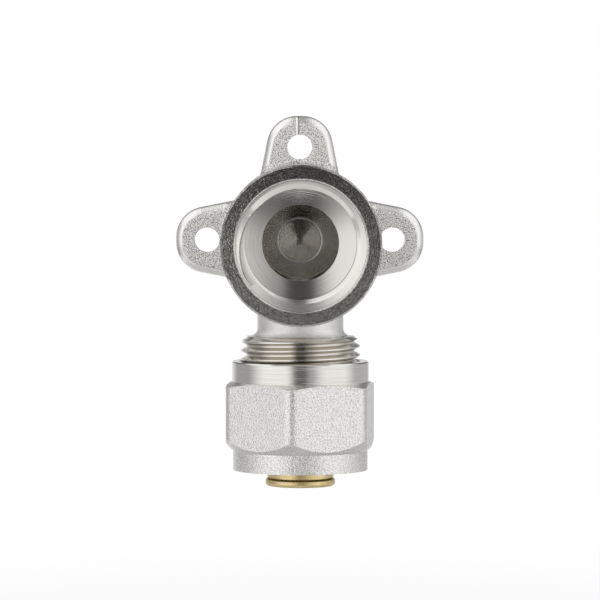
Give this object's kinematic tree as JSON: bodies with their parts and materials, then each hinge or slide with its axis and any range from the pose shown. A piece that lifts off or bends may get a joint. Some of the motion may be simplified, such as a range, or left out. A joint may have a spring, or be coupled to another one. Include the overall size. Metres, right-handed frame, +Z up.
{
  "type": "wall plate elbow",
  "caption": "Wall-mounted pipe elbow: an eared brass body with a threaded tap socket facing out and a downward leg with a compression nut and pipe insert.",
  "frame": {"origin": "on the wall face, where the axis of the tap socket meets it", "axes": "+X to the right, +Y into the wall, +Z up; the leg points down, parallel to the wall"},
  "size_m": [0.0422, 0.0335, 0.0619],
  "materials": {
    "nickel_body": "nickel-plated brass, blasted outside and turned inside the socket",
    "nickel_nut": "nickel-plated brass, blasted flats and a turned upper collar",
    "bare_brass": "bare turned brass",
    "seal_rubber": "black sealing rubber",
    "white_washer": "white low-friction plastic"
  },
  "bodies": {
    "elbow": {"elbow_body": "nickel_body", "pipe_insert": "bare_brass", "insert_seat_o_ring": "seal_rubber", "pipe_o_ring_upper": "seal_rubber", "pipe_o_ring_lower": "seal_rubber", "insulating_washer": "white_washer"},
    "ring": {"split_ring": "bare_brass"},
    "nut": {"compression_nut": "nickel_nut"}
  },
  "joints": [
    {"name": "ring_travel", "type": "slide", "parent": "elbow", "child": "ring", "axis": [0, 0, 1], "range_m": [-0.0045, 0.003]},
    {"name": "nut_turn", "type": "hinge", "parent": "ring", "child": "nut", "pos_m": [0, -0.014, -0.029], "axis": [0, 0, 1], "range_deg": [-1080, 720]}
  ],
  "couplings": [
    {"joint": "ring_travel", "follows": "nut_turn", "m_per_rad": 0.00023873}
  ]
}
